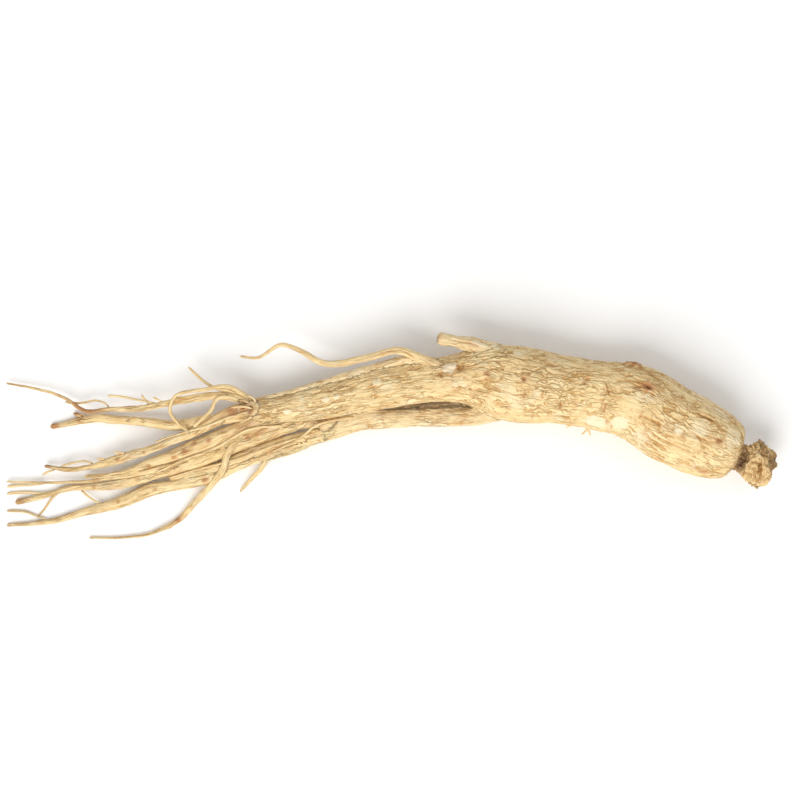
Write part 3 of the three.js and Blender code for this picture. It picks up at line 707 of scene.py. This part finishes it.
def scars(limbs: dict) -> list:
    """Every scar on the root: the placed ones, and on the hidden side ones strewn by a seed.

    Args:
        limbs: the limbs by name.

    Returns:
        The marks, in the order in which they are pressed in.
    """
    k = MarkKind
    placed = {
        "trunk": (
            (k.PATCH, 57.6, 4.9, 7.6, 4.6, 0.9), (k.PATCH, 64.6, 4.4, 5.6, 5.0, 0.85),
            (k.PATCH, 70.0, 1.8, 5.0, 5.0, 0.4), (k.FURROW, 61.2, 4.6, 1.0, 6.0, 0.8),
            (k.PATCH, 70.8, 11.8, 4.5, 3.0, 0.5), (k.PATCH, 86.0, 4.0, 5.5, 4.5, 0.4),
            (k.PATCH, 94.6, 0.8, 5.0, 6.0, 0.6), (k.PATCH, 35.6, 24.1, 2.6, 1.8, 0.9),
            (k.FURROW, 79.8, 2.4, 27.0, 1.5, 0.6, 9.5), (k.FURROW, 86.7, 6.9, 6.0, 1.2, 1.0),
            (k.FURROW, 77.0, -0.6, 16.0, 1.2, 0.7, 4), (k.FURROW, 89.0, 0.9, 7.0, 1.1, 0.5, 6),
            (k.LENTICEL, 47.0, 9.7, 1.9, 3.4, 1.5), (k.LENTICEL, 61.0, 14.3, 1.8, 4.0, 1.5, 30),
            (k.LENTICEL, 60.4, 8.8, 1.9, 3.2, 1.5), (k.LENTICEL, 36.7, 13.2, 1.6, 2.8, 1.4),
            (k.LENTICEL, 41.4, 12.8, 1.6, 2.8, 1.3), (k.LENTICEL, 52.0, 19.0, 1.3, 2.2, 0.7),
            (k.LENTICEL, 76.0, 9.0, 1.3, 2.4, 0.6), (k.KNOT, 72.1, 14.7, 3.2, 3.2, 1.25),
            (k.KNOT, 81.0, 12.0, 1.5, 1.5, 0.8), (k.KNOT, 36.7, 17.1, 2.8, 2.8, 0.9),
            (k.KNOT, 68.6, 21.2, 3.4, 3.0, 1.8), (k.SPECK, 90.6, 0.1, 2.4, 1.9, 1.2),
            (k.SPECK, 80.5, 1.2, 2.2, 1.4, 0.8), (k.SPECK, 55.4, 20.3, 0.8, 0.7, 0.9),
            (k.SPECK, 55.5, 17.1, 0.9, 0.6, 0.9), (k.SPECK, 54.3, 15.7, 0.7, 0.6, 0.8),
            (k.SPECK, 26.9, 18.5, 2.0, 1.5, 1.2), (k.BLISTER, 79.2, 2.7, 2.0, 1.6, 0.75),
            (k.FLUSH, 17.0, 19.6, 7.0, 7.0, 0.45), (k.BLISTER, 16.8, 20.4, 3.2, 3.6, 1.1),
            (k.FURROW, 19.2, 20.4, 1.1, 5.0, 0.8, 10), (k.FURROW, 20.6, 20.8, 0.9, 4.0, 0.6, -12),
            (k.FURROW, 14.4, 18.0, 1.0, 4.5, 0.6, 24), (k.FLUSH, 87.2, -8.6, 4.0, 3.0, 1.1),
            (k.BLISTER, -28.3, 7.8, 2.4, 1.7, 0.9), (k.BLISTER, -17.4, 11.5, 2.2, 1.5, 0.9),
            (k.BLISTER, -14.3, 12.2, 1.7, 1.3, 0.8), (k.BLISTER, -3.1, 16.2, 2.6, 1.7, 0.8),
            (k.BLISTER, -36.2, 9.6, 1.2, 1.1, 1.0), (k.FURROW, 22.6, 14.0, 1.2, 5.0, 0.6, 20),
            (k.FURROW, 19.6, 14.6, 1.0, 4.0, 0.5, 14), (k.FLUSH, 27.0, 12.0, 7.0, 4.0, 0.5),
            (k.FLUSH, 97.5, -4.0, 3.5, 40.0, 0.6), (k.FLUSH, -38.0, 8.2, 6.0, 9.0, 0.7),
        ),
        "web": (
            # the dark band between the trunk and the lower leg: painted shade in the crotch, over brown skin
            (k.CLEFT, 12.0, 10.2, 46.0, 12.0, 0.95),
        ),
        "lower_leg": (
            (k.FURROW, 28.3, 8.9, 1.3, 7.0, 0.9, 12), (k.FURROW, 30.6, 7.4, 1.0, 5.0, 0.7, -14),
            (k.OLIVE, -26.0, -2.0, 20.0, 14.0, 0.55), (k.FURROW, -19.0, 1.6, 1.2, 5.0, 0.6),
        ),
        "broken_leg": (
            (k.FLUSH, -20.0, 3.5, 4.0, 8.0, 0.7),
        ),
        "node": (
            (k.FLUSH, -40.0, 8.5, 6.0, 12.0, 0.6), (k.FURROW, -38.6, 8.8, 1.0, 4.5, 0.9),
            (k.KNOT, -40.2, 9.2, 1.8, 1.8, 1.0), (k.SPECK, -38.8, 7.4, 1.0, 1.6, 0.6),
        ),
        "broad_tail": (
            (k.SPECK, -54.6, -0.9, 1.7, 1.3, 1.4), (k.SPECK, -50.4, -0.1, 1.5, 1.3, 1.4),
            (k.SPECK, -57.4, -3.1, 1.8, 1.3, 1.4), (k.SPECK, -60.5, -5.0, 1.4, 1.1, 1.2),
            (k.SPECK, -68.0, -7.4, 1.4, 1.0, 1.2), (k.FLUSH, -41.0, 3.4, 9.0, 4.0, 0.6),
        ),
        "first_tail": (
            (k.SPECK, -76.6, -5.6, 1.4, 1.1, 1.3), (k.SPECK, -69.0, -3.6, 1.3, 1.0, 1.1),
            (k.FLUSH, -97.2, -7.6, 3.0, 9.0, 0.9), (k.FLUSH, -44.0, 8.0, 10.0, 5.0, 0.6),
        ),
        "lowest_tail": (
            (k.SPECK, -52.0, -11.4, 1.9, 1.5, 1.4), (k.SPECK, -76.6, -17.6, 1.2, 0.9, 1.0),
            (k.SPECK, -66.0, -14.0, 1.4, 1.0, 0.9),
        ),
        "blunt_tail": (
            (k.SPECK, -84.0, -13.6, 1.3, 1.0, 1.2), (k.FLUSH, -105.6, -17.8, 3.5, 9.0, 0.9),
            (k.SPECK, -60.5, -8.2, 1.3, 1.0, 0.9), (k.SPECK, -71.0, -11.3, 1.2, 0.9, 0.9),
        ),
        "long_tail": (
            (k.SPECK, -40.0, 0.6, 1.5, 1.0, 1.0), (k.FLUSH, -36.0, 2.4, 8.0, 5.0, 0.7),
        ),
        "broken_branch": (
            (k.FLUSH, 13.4, 28.4, 3.0, 9.0, 0.8), (k.FLUSH, 23.5, 26.0, 6.0, 3.0, 0.6),
            (k.BLISTER, 25.0, 26.8, 4.0, 1.4, 0.6), (k.FURROW, 21.0, 27.2, 9.0, 0.9, 0.7),
            (k.BLISTER, 29.6, 25.6, 2.2, 1.8, 1.2), (k.CLEFT, 13.0, 28.5, 1.0, 2.2, 0.8),
        ),
        "flat_rootlet": (
            (k.FLUSH, -95.6, 3.7, 4.0, 9.0, 1.1), (k.KNOT, -88.0, 5.4, 1.6, 1.4, 0.8),
        ),
        "flat_fork": (
            (k.FLUSH, -89.6, 7.4, 3.0, 9.0, 1.2),
        ),
        "upper_rootlet": (
            (k.FLUSH, -86.5, 8.4, 16.0, 9.0, 1.0), (k.FLUSH, -104, 15.2, 8.0, 9.0, 0.7),
        ),
        "bowed_rootlet": (
            (k.FLUSH, -60.0, -22.6, 4.0, 9.0, 0.6), (k.KNOT, -59.8, -22.8, 1.2, 1.2, 0.8),
        ),
        "crown": (
            # the cleft round the crown's neck paints its dark band of shade
            (k.CLEFT, 99.3, -5.0, 2.2, 44.0, 0.85), (k.FURROW, 105.2, -4.6, 4.4, 1.3, 1.1, -25),
            (k.FURROW, 103.3, -8.0, 1.2, 7.0, 1.1),
        ),
        "crown_flap": (
            (k.FURROW, 102.3, -10.6, 5.0, 1.2, 1.0),
        ),
    }
    draw = np.random.default_rng(21)
    strewn = []
    counts = {"trunk": 26, "side_leg": 3, "lower_leg": 6, "broad_tail": 3, "blunt_tail": 3}
    for name, count in counts.items():
        limb = limbs[name]
        for spot in draw.uniform(0.06, 0.92, count):
            index = int(spot * (len(limb.arc) - 1))
            side = draw.uniform(-0.95, 0.95) * limb.girth[index]
            x, y = (limb.place[index] + side * limb.across[index])[:2]
            kind = (k.LENTICEL, k.LENTICEL, k.KNOT, k.BLISTER, k.SPECK, k.PATCH)[draw.integers(6)]
            size = draw.uniform(0.8, 1.5) * min(1.3, 0.35 + limb.girth[index] / 8)
            strewn.append(Mark(kind, name, x, y, 1.4 * size, 1.9 * size, draw.uniform(0.5, 0.95),
                               draw.uniform(-25, 25), below=bool(draw.random() < 0.8)))
    seen = [Mark(kind, name, *sizes) for name, rows in placed.items() for kind, *sizes in rows]
    return seen + strewn


# The camera, the lights and the floor ----------------------------------------------------------------


@dataclass(frozen=True)
class Studio:
    """A pale floor under soft lights, seen from straight above."""

    aim: tuple = (3.1, 11.2)  # where the camera looks, on the routes' plane
    height: float = 538.5
    lens: float = 85.0
    gap: float = -0.00004  # the floor lies a hair lower than the root

    def floor(self) -> bpy.types.Object:
        """The pale floor, just under the root."""
        half = 6.0  # metres
        mesh = bpy.data.meshes.new("floor")
        corners = [(x * half, y * half, self.gap) for x, y in ((-1, -1), (1, -1), (1, 1), (-1, 1))]
        mesh.from_pydata(corners, [], [(0, 1, 2, 3)])
        floor = bpy.data.objects.new("floor", mesh)
        bpy.context.collection.objects.link(floor)
        material = bpy.data.materials.new("floor_paper")
        material.use_nodes = True
        shader = material.node_tree.nodes["Principled BSDF"]
        shader.inputs["Base Color"].default_value = (0.97, 0.97, 0.97, 1)
        shader.inputs["Roughness"].default_value = 0.9
        shader.inputs["Specular IOR Level"].default_value = 0.1
        mesh.materials.append(material)
        return floor

    def light(self, name: str, place: tuple, size: float, power: float, tint: tuple) -> None:
        """One square soft light that faces the root.

        Args:
            name: what it is called.
            place: where it hangs, in metres.
            size: its side, in metres.
            power: in watts.
            tint: its colour.
        """
        data = bpy.data.lights.new(name, "AREA")
        data.shape = "SQUARE"
        data.size = size
        data.energy = power
        data.color = tint
        lamp = bpy.data.objects.new(name, data)
        lamp.location = place
        away = np.array(place) - np.array([0, 0, 0.01])
        away = away / np.linalg.norm(away)
        lamp.rotation_euler = (math.acos(away[2]), 0, math.atan2(away[0], -away[1]))
        bpy.context.collection.objects.link(lamp)

    def camera(self) -> None:
        """The camera straight over the root, with the root's length across the view."""
        data = bpy.data.cameras.new("camera")
        data.lens = self.lens
        data.clip_start = 0.01
        data.clip_end = 20
        camera = bpy.data.objects.new("camera", data)
        x, y = (np.array(self.aim) - MIDDLE[:2]) * METRES
        camera.location = (x, y, self.height * METRES)
        bpy.context.collection.objects.link(camera)
        bpy.context.scene.camera = camera

    def set_up(self) -> None:
        """Floor, lights, a white surround and the camera."""
        self.floor()
        self.light("key", (-0.25, -0.75, 0.9), 0.9, 12.0, (1.0, 0.985, 0.96))
        self.light("fill", (0.5, 0.5, 1.0), 1.2, 2.0, (0.97, 0.985, 1.0))
        world = bpy.data.worlds.new("surround")
        world.use_nodes = True
        world.node_tree.nodes["Background"].inputs["Color"].default_value = (1, 1, 1, 1)
        world.node_tree.nodes["Background"].inputs["Strength"].default_value = 0.55
        bpy.context.scene.world = world
        self.camera()
        bpy.context.scene.view_settings.view_transform = "Standard"
        bpy.context.scene.view_settings.look = "None"


# The root ---------------------------------------------------------------------------------------------


@dataclass
class GinsengRoot:
    """The whole root: a melted body, tails and threads joined to it, and its scars."""

    voxel: float = 0.3
    body_triangles: int = 128000

    # the stems' scars: the middle of a ball, its radius, and the way it is pressed in
    CUPS = (
        (np.array([109.4, -6.0, 13.6]), 4.3, np.array([-0.45, -0.1, -0.887])),
        (np.array([109.6, -11.6, 10.0]), 4.2, np.array([-0.78, 0.6, -0.177])),
        (np.array([106.6, 1.6, 10.0]), 3.0, np.array([-0.3, -0.94, -0.163])),
    )

    def __post_init__(self) -> None:
        """Sets out the limbs."""
        self.stout = stout_limbs()
        self.thin = tail_limbs() + thread_limbs() + hair_limbs()
        self.marks = scars({limb.name: limb for limb in self.stout + self.thin})

    def bark_of(self, limb: Limb, turn: np.ndarray, arc: np.ndarray, girth: np.ndarray) -> Bark:
        """A limb's skin with its scars.

        Args:
            limb: the limb.
            turn, arc, girth: where each point is on it.

        Returns:
            The skin there.
        """
        bark = wrinkled(limb, turn, arc, girth)
        for mark in self.marks:
            if mark.limb == limb.name:
                mark.press(bark, limb, turn, arc, girth)
        return bark

    def melted(self, points: np.ndarray, limbs: list, with_bark: bool) -> tuple:
        """How far outside the melted limbs each point is, and the skin there.

        Limbs are taken in order. Where two surfaces are closer than the fillet k, the smaller distance
        is lowered by h^2 k / 4 with h = 1 - gap / k, and the skins are mixed by h^2 / 2.

        Args:
            points: places, one a row.
            limbs: the limbs to melt.
            with_bark: whether to work out the skin as well.

        Returns:
            Distances, and the skin or None.
        """
        far = 1e3
        out = np.full(len(points), far)
        bark = Bark.plain(len(points))
        self.grain = np.zeros((len(points), 3))
        whose = np.full(len(points), far)
        for limb in limbs:
            low, high = limb.reach()
            near = np.flatnonzero(((points > low) & (points < high)).all(axis=1))
            if not len(near):
                continue
            other, turn, arc, girth = limb.feet(points[near])
            mine = out[near]
            h = np.clip(1 - np.abs(mine - other) / limb.fillet, 0, 1)
            share = np.where(other < mine, 1 - h**2 / 2, h**2 / 2)
            out[near] = np.minimum(mine, other) - h**2 * limb.fillet / 4
            if with_bark:
                own = other < whose[near]
                whose[near[own]] = other[own]
                self.grain[near[own]] = grain_of(limb, turn, arc, girth)[own]
                pick = np.flatnonzero(share > 0.001)
                skin = self.bark_of(limb, turn[pick], arc[pick], girth[pick])
                for name in Bark.__dataclass_fields__:
                    values = getattr(bark, name)
                    here = near[pick]
                    values[here] += (getattr(skin, name) - values[here]) * share[pick]
        return out, bark if with_bark else None

    @staticmethod
    def tube(limb: Limb, sides: int, step: float, relief: Callable | None = None) -> bpy.types.Object:
        """A limb as a closed tube on a grid of rings and sides, with its tips closed by fans.

        Args:
            limb: the limb.
            sides: points round it.
            step: length between rings.
            relief: a function of turn, arc and girth that gives the distance out, or None.

        Returns:
            The tube, in millimetres.
        """
        arcs, turns, girths = limb.rings(sides, step)
        arc, turn = np.meshgrid(arcs, turns, indexing="ij")
        girth = np.repeat(girths[:, None], sides, axis=1)
        out = girth.copy()
        if relief is not None:
            raised = relief(turn.ravel(), arc.ravel(), girth.ravel()).reshape(out.shape)
            out = np.maximum(out + raised * np.minimum(1, girth / 0.8), 0.25 * girth)
        grid = limb.skin_at(arc, turn, out).reshape(-1, 3)
        points = np.vstack([grid, limb.place[:1], limb.place[-1:]])
        rows = len(arcs)
        ring, side = np.meshgrid(np.arange(rows - 1), np.arange(sides), indexing="ij")
        after = (side + 1) % sides
        quads = np.stack([ring * sides + side, (ring + 1) * sides + side, (ring + 1) * sides + after,
                          ring * sides + after], axis=-1).reshape(-1, 4)
        head, foot = rows * sides, rows * sides + 1
        step_on = (np.arange(sides) + 1) % sides
        last = (rows - 1) * sides
        caps = [(head, int(k), int(step_on[k])) for k in range(sides)]
        caps += [(foot, int(last + step_on[k]), int(last + k)) for k in range(sides)]
        mesh = bpy.data.meshes.new(limb.name)
        mesh.from_pydata(points.tolist(), [], quads.tolist() + caps)
        tube = bpy.data.objects.new(limb.name, mesh)
        bpy.context.collection.objects.link(tube)
        return tube

    def body(self) -> bpy.types.Object:
        """The stout limbs as one wrinkled skin.

        The limbs' tubes are melted on a fine grid, every point is settled on the filleted surface by
        short steps along its normal, and the skin's relief is added along the same normal.

        Returns:
            The body, in millimetres.
        """
        tubes = [self.tube(limb, 40, 0.7) for limb in self.stout]
        vertices, faces, start = [], [], 0
        for tube in tubes:
            count = len(tube.data.vertices)
            flat = np.empty(count * 3)
            tube.data.vertices.foreach_get("co", flat)
            vertices.append(flat.reshape(-1, 3))
            faces += [[start + k for k in face.vertices] for face in tube.data.polygons]
            start += count
            bpy.data.objects.remove(tube)
        mesh = bpy.data.meshes.new("body")
        mesh.from_pydata(np.vstack(vertices).tolist(), [], faces)
        body = bpy.data.objects.new("body", mesh)
        bpy.context.collection.objects.link(body)
        melt = body.modifiers.new("melt", "REMESH")
        melt.mode = "VOXEL"
        melt.voxel_size = self.voxel
        self.settle_modifiers(body)
        points = self.points_of(body)
        for _ in range(4):
            out, _ = self.melted(points, self.stout, with_bark=False)
            points = points - 0.7 * np.clip(out, -0.2, 0.2)[:, None] * self.normals_of(body, points)
        _, bark = self.melted(points, self.stout, with_bark=True)
        points = points + bark.relief[:, None] * self.normals_of(body, points)
        points = self.hollow_crown(points)
        self.put_points(body, points)
        thin = body.modifiers.new("thin", "DECIMATE")
        thin.ratio = min(1.0, self.body_triangles / max(1, 2 * len(body.data.polygons)))
        self.settle_modifiers(body)
        log.info("body: %d faces", len(body.data.polygons))
        return body

    @classmethod
    def hollow_crown(cls, points: np.ndarray) -> np.ndarray:
        """The stems' scars: points within each ball at the crown's end are pushed to its near side."""
        for ball in cls.CUPS:
            points = cls.pressed(points, *ball)
        return points

    @staticmethod
    def pressed(points: np.ndarray, centre: np.ndarray, radius: float, push: np.ndarray) -> np.ndarray:
        """Points within a ball, moved along the push by 0.8 of their way to its far side.

        Args:
            points: places, one a row.
            centre: the ball's middle.
            radius: the ball's radius.
            push: the way in, of length 1.

        Returns:
            The places after the press.
        """
        away = points - centre
        inside = np.linalg.norm(away, axis=1) < radius
        along = away @ push
        flat = away - along[:, None] * push
        depth = np.sqrt(np.maximum(radius**2 - (flat**2).sum(1), 0))
        moved = points + ((depth - along)[:, None] * push) * 0.8
        return np.where((inside & (along < depth))[:, None], moved, points)

    @staticmethod
    def points_of(piece: bpy.types.Object) -> np.ndarray:
        """A mesh's points, one a row."""
        flat = np.empty(len(piece.data.vertices) * 3)
        piece.data.vertices.foreach_get("co", flat)
        return flat.reshape(-1, 3)

    @staticmethod
    def put_points(piece: bpy.types.Object, points: np.ndarray) -> None:
        """Puts the points back into the mesh."""
        piece.data.vertices.foreach_set("co", np.ascontiguousarray(points).ravel())
        piece.data.update()

    def normals_of(self, piece: bpy.types.Object, points: np.ndarray) -> np.ndarray:
        """The outward normals once the mesh has these points."""
        self.put_points(piece, points)
        flat = np.empty(len(points) * 3)
        piece.data.vertex_normals.foreach_get("vector", flat)
        return flat.reshape(-1, 3)

    @staticmethod
    def settle_modifiers(piece: bpy.types.Object) -> None:
        """Puts the result of a piece's modifiers into its mesh."""
        graph = bpy.context.evaluated_depsgraph_get()
        mesh = bpy.data.meshes.new_from_object(piece.evaluated_get(graph))
        piece.modifiers.clear()
        piece.data = mesh

    def join(self, body: bpy.types.Object) -> None:
        """Adds the tails and threads to the body as one closed skin.

        Args:
            body: the melted limbs, changed in place.
        """
        bundle = bpy.data.collections.new("tails")
        bpy.context.scene.collection.children.link(bundle)
        for limb in self.thin:
            thick = limb.girth.max()
            sides = 24 if thick > 1.2 else 14 if thick > 0.7 else 9
            step = 0.7 if limb.growth is Growth.TAIL else 0.9

            def relief(turn: np.ndarray, arc: np.ndarray, girth: np.ndarray, limb: Limb = limb) -> np.ndarray:
                """The limb's relief."""
                return self.bark_of(limb, turn, arc, girth).relief

            tube = self.tube(limb, sides, step, relief)
            bundle.objects.link(tube)
            bpy.context.scene.collection.objects.unlink(tube)
        union = body.modifiers.new("join", "BOOLEAN")
        union.operation = "UNION"
        union.solver = "MANIFOLD"
        union.operand_type = "COLLECTION"
        union.collection = bundle
        self.settle_modifiers(body)
        for tube in list(bundle.objects):
            bpy.data.objects.remove(tube)
        bpy.data.collections.remove(bundle)

    def keep_one_skin(self, body: bpy.types.Object) -> None:
        """Drops what the union leaves loose: flat slivers, and any strand that touches nothing.

        Faces on the two sides of an edge that just two faces share take the lower of their labels,
        over and over, until each part of the skin has one label. The largest part stays.

        Args:
            body: the joined skin, changed in place.
        """
        mesh = body.data
        skin = bmesh.new()
        skin.from_mesh(mesh)
        bmesh.ops.triangulate(skin, faces=skin.faces[:])
        skin.to_mesh(mesh)
        count = len(mesh.polygons)
        edge = np.empty(3 * count, int)
        mesh.loops.foreach_get("edge_index", edge)
        order = np.argsort(edge, kind="stable")
        shared = np.bincount(edge, minlength=len(mesh.edges))
        first = (np.cumsum(shared) - shared)[shared == 2]
        one, other = order[first] // 3, order[first + 1] // 3
        label, before = np.arange(count), None
        while not np.array_equal(label, before):
            before = label
            low = np.minimum(label[one], label[other])
            label = label.copy()
            np.minimum.at(label, one, low)
            np.minimum.at(label, other, low)
            label = label[label]
        skin.faces.ensure_lookup_table()
        loose = [skin.faces[k] for k in np.flatnonzero(label != np.bincount(label).argmax())]
        bmesh.ops.delete(skin, geom=loose, context="FACES")
        skin.to_mesh(mesh)
        skin.free()
        log.info("loose faces dropped: %d", len(loose))

    def dress(self, body: bpy.types.Object) -> None:
        """Writes the skin's colours onto the finished mesh as one attribute for each, with painted shade
        inside the crown's cup.

        A point belongs to the limb whose skin is nearest, tails over body where they lie on it.

        Args:
            body: the joined skin, changed in place.
        """
        points = self.points_of(body)
        out, bark = self.melted(points, self.stout, with_bark=True)
        out = np.abs(out - bark.relief)
        for limb in self.thin:
            low, high = limb.reach()
            near = np.flatnonzero(((points > low) & (points < high)).all(axis=1))
            if not len(near):
                continue
            other, turn, arc, girth = limb.feet(points[near])
            skin = self.bark_of(limb, turn, arc, girth)
            other = np.abs(other - skin.relief * np.minimum(1, girth / 0.8))
            closer = other < out[near]
            here = near[closer]
            out[here] = other[closer]
            self.grain[here] = grain_of(limb, turn, arc, girth)[closer]
            for name in Bark.__dataclass_fields__:
                getattr(bark, name)[here] = getattr(skin, name)[closer]
        # painted shade: the inside of the first stem scar's cup is darkened and its creases deepened
        centre, radius, _ = self.CUPS[0]
        hollow = smooth_step(radius + 0.5, radius - 0.2, np.linalg.norm(points - centre, axis=1))
        bark.dark += 0.35 * hollow
        bark.crease += 0.4 * hollow
        for name in ("crease", "pale", "stain", "dark", "olive", "calm"):
            layer = body.data.attributes.new(name, "FLOAT", "POINT")
            layer.data.foreach_set("value", np.clip(getattr(bark, name), 0, 1.2).astype(np.float32))
        layer = body.data.attributes.new("grain", "FLOAT_VECTOR", "POINT")
        layer.data.foreach_set("vector", self.grain.astype(np.float32).ravel())

    def build(self) -> bpy.types.Object:
        """Makes the whole skin and hands it over in metres, in the frame's place.

        Returns:
            The root as one mesh object, with no material yet.
        """
        body = self.body()
        self.join(body)
        self.keep_one_skin(body)
        self.dress(body)
        points = self.points_of(body)
        points[:, 2] = np.maximum(points[:, 2], 0)
        self.put_points(body, (points - MIDDLE) * METRES)
        body.data.polygons.foreach_set("use_smooth", np.ones(len(body.data.polygons), bool))
        body.name = "dried_ginseng_root"
        body.data.name = "dried_ginseng_root"
        faces = sum(len(face.vertices) - 2 for face in body.data.polygons)
        log.info("dried_ginseng_root: %d triangles", faces)
        return body


@dataclass(frozen=True)
class BarkFinish:
    """Cream bark with tan creases, pale peeled patches and reddish-brown scars, with near-black painted shade
    in clefts and hollows.
    """

    ridge: tuple = (0.93, 0.74, 0.41)
    shade: tuple = (0.87, 0.64, 0.32)
    crease: tuple = (0.56, 0.29, 0.09)
    line: tuple = (0.58, 0.30, 0.085)
    pale: tuple = (0.86, 0.75, 0.53)
    stain: tuple = (0.46, 0.185, 0.065)
    # near-black: deep brown scars, and the painted shade in clefts and the crown's cup
    dark: tuple = (0.10, 0.045, 0.02)
    olive: tuple = (0.66, 0.54, 0.26)
    line_spacing: float = 0.95  # millimetres in the limbs' own space
    line_run: float = 8.5

    def material(self) -> bpy.types.Material:
        """The finish as shader nodes over the skin's attributes and the limbs' own space.

        Returns:
            The material.
        """
        material = bpy.data.materials.new("dried_bark")
        material.use_nodes = True
        tree = material.node_tree
        nodes, links = tree.nodes, tree.links
        shader = nodes["Principled BSDF"]
        coordinates = nodes.new("ShaderNodeTexCoord").outputs["Object"]

        def plug(value: object, socket: bpy.types.NodeSocket) -> None:
            """Links a socket, or sets a number, vector or colour on it."""
            if isinstance(value, bpy.types.NodeSocket):
                links.new(value, socket)
            elif isinstance(value, tuple) and len(socket.default_value) == 4:
                socket.default_value = (*value, 1)
            else:
                socket.default_value = value

        def noise(vector: bpy.types.NodeSocket, scale: float, detail: float,
                  output: str = "Fac") -> bpy.types.NodeSocket:
            """Noise over a space, with one swing every 1 / scale."""
            node = nodes.new("ShaderNodeTexNoise")
            node.inputs["Scale"].default_value = scale
            node.inputs["Detail"].default_value = detail
            node.inputs["Roughness"].default_value = 0.55
            plug(vector, node.inputs["Vector"])
            return node.outputs[output]

        def sum_of(first: object, second: object, operation: str = "ADD") -> bpy.types.NodeSocket:
            """first and second put together by an arithmetic operation."""
            node = nodes.new("ShaderNodeMath")
            node.operation = operation
            plug(first, node.inputs[0])
            if second is not None:
                plug(second, node.inputs[1])
            return node.outputs[0]

        def vectors(first: object, second: object, operation: str) -> bpy.types.NodeSocket:
            """Two vectors put together by an arithmetic operation."""
            node = nodes.new("ShaderNodeVectorMath")
            node.operation = operation
            plug(first, node.inputs[0])
            plug(second, node.inputs[1])
            return node.outputs[0]

        def layer(name: str, output: str = "Fac") -> bpy.types.NodeSocket:
            """One of the skin's attributes."""
            node = nodes.new("ShaderNodeAttribute")
            node.attribute_name = name
            return node.outputs[output]

        def ramp(value: bpy.types.NodeSocket, low: float, high: float,
                 top: float = 1.0) -> bpy.types.NodeSocket:
            """value spread smoothly from 0 at low to top at high."""
            node = nodes.new("ShaderNodeMapRange")
            node.interpolation_type = "SMOOTHSTEP"
            node.inputs["From Min"].default_value = low
            node.inputs["From Max"].default_value = high
            node.inputs["To Max"].default_value = top
            plug(value, node.inputs["Value"])
            return node.outputs["Result"]

        def mix(below: object, above: object, share: bpy.types.NodeSocket) -> bpy.types.NodeSocket:
            """Two colours mixed by share."""
            node = nodes.new("ShaderNodeMix")
            node.data_type = "RGBA"
            plug(below, node.inputs[6])
            plug(above, node.inputs[7])
            plug(share, node.inputs[0])
            return node.outputs[2]

        def lines(vector: bpy.types.NodeSocket, spacing: float, run: float,
                  width: float) -> bpy.types.NodeSocket:
            """1 along the creases, where a noise stretched along the limb crosses its middle."""
            space = vectors(vector, (1 / spacing, 1 / spacing, 1 / run), "MULTIPLY")
            gap = sum_of(sum_of(noise(space, 1.0, 1.5), 0.5, "SUBTRACT"), None, "ABSOLUTE")
            return sum_of(1.0, ramp(gap, 0.0, width), "SUBTRACT")

        grain = layer("grain", "Vector")
        slanted = vectors(grain, (0.55, 0.55, 0.5), "MULTIPLY")
        sway = vectors(noise(slanted, 1.0, 1.0, "Color"), (0.5, 0.5, 0.5), "SUBTRACT")
        swayed = vectors(grain, vectors(sway, (1.5, 1.5, 1.0), "MULTIPLY"), "ADD")
        broad = lines(swayed, 2.4 * self.line_spacing, 1.7 * self.line_run, 0.04)
        narrow = lines(swayed, self.line_spacing, self.line_run, 0.075)
        tiny = lines(swayed, 0.55 * self.line_spacing, 0.6 * self.line_run, 0.085)
        strength = ramp(noise(grain, 0.16, 2.0), 0.34, 0.6)
        smooth = sum_of(1.0, layer("calm"), "SUBTRACT")
        drawn = sum_of(sum_of(broad, 0.6, "MULTIPLY"), sum_of(narrow, 0.65, "MULTIPLY"))
        drawn = sum_of(drawn, sum_of(strength, 0.55, "ADD"), "MULTIPLY")
        drawn = sum_of(drawn, sum_of(tiny, 0.22, "MULTIPLY"))
        drawn = sum_of(drawn, smooth, "MULTIPLY")

        colour = mix(self.shade, self.ridge, ramp(noise(coordinates, 300, 4), 0.32, 0.68))
        colour = mix(colour, self.pale, layer("pale"))
        colour = mix(colour, self.olive, layer("olive"))
        colour = mix(colour, self.line, ramp(drawn, 0.1, 1.25, 0.8))
        colour = mix(colour, self.crease, ramp(layer("crease"), 0.1, 1.4))
        colour = mix(colour, self.stain, ramp(layer("stain"), 0.05, 1.6))
        # the dark layer: deep brown scars, and painted shade in clefts and the crown's cup
        colour = mix(colour, self.dark, ramp(layer("dark"), 0.0, 1.2))
        links.new(colour, shader.inputs["Base Color"])
        links.new(ramp(noise(coordinates, 900, 3), -0.6, 1.3), shader.inputs["Roughness"])
        height = sum_of(sum_of(noise(coordinates, 2000, 4), 0.25, "MULTIPLY"), drawn, "SUBTRACT")
        bump = nodes.new("ShaderNodeBump")
        bump.inputs["Strength"].default_value = 1.0
        bump.inputs["Distance"].default_value = 0.00022
        links.new(height, bump.inputs["Height"])
        links.new(bump.outputs["Normal"], shader.inputs["Normal"])
        shader.inputs["Specular IOR Level"].default_value = 0.25
        return material


def main() -> None:
    """Loads the frame, builds the root, dresses it and sets up the studio."""
    logging.basicConfig(level=logging.INFO, format="%(name)s: %(message)s")
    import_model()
    Studio().set_up()
    root = GinsengRoot().build()
    root.data.materials.clear()
    root.data.materials.append(BarkFinish().material())
    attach(root, "root")
    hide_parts("ginseng_root")
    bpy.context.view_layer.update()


if __name__ == "__main__":
    main()
